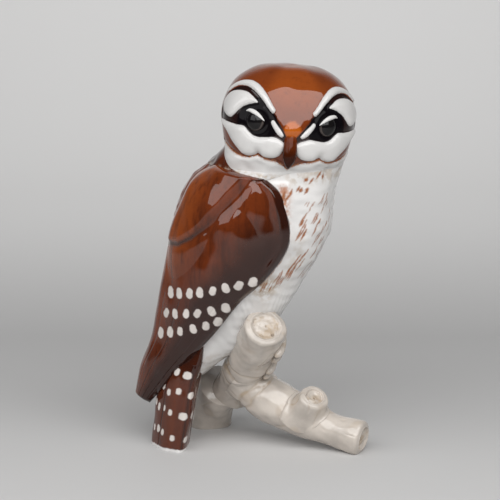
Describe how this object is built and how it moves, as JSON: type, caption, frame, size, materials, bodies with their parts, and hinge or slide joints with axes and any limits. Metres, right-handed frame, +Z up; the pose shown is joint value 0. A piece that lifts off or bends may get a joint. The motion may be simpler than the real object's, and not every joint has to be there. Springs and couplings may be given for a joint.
{
  "type": "owl figurine",
  "caption": "Glazed porcelain figurine of a small round-headed owl, brown above and white below, perched on a pruned white branch that it stands on",
  "frame": {"origin": "on the table, under the middle of the figurine's bounding box", "axes": "+Z up; -Y the way the owl's face looks; +X the side its breast turns to and the lying branch runs to"},
  "size_m": [0.0734, 0.0606, 0.12],
  "materials": {
    "crown_glaze": "gloss",
    "beak_glaze": "gloss",
    "eye_glaze": "gloss",
    "breast_glaze": "gloss",
    "wing_glaze": "gloss",
    "tail_glaze": "gloss",
    "foot_glaze": "gloss",
    "bark_glaze": "gloss"
  },
  "bodies": {
    "root": {"head": "crown_glaze", "beak": "beak_glaze", "right_eye": "eye_glaze", "left_eye": "eye_glaze", "body": "breast_glaze", "right_wing": "wing_glaze", "left_wing": "wing_glaze", "tail": "tail_glaze", "right_foot": "foot_glaze", "left_foot": "foot_glaze", "perch_limb": "bark_glaze", "lower_branch": "bark_glaze", "rear_root": "bark_glaze", "knot_stub": "bark_glaze"}
  },
  "joints": []
}
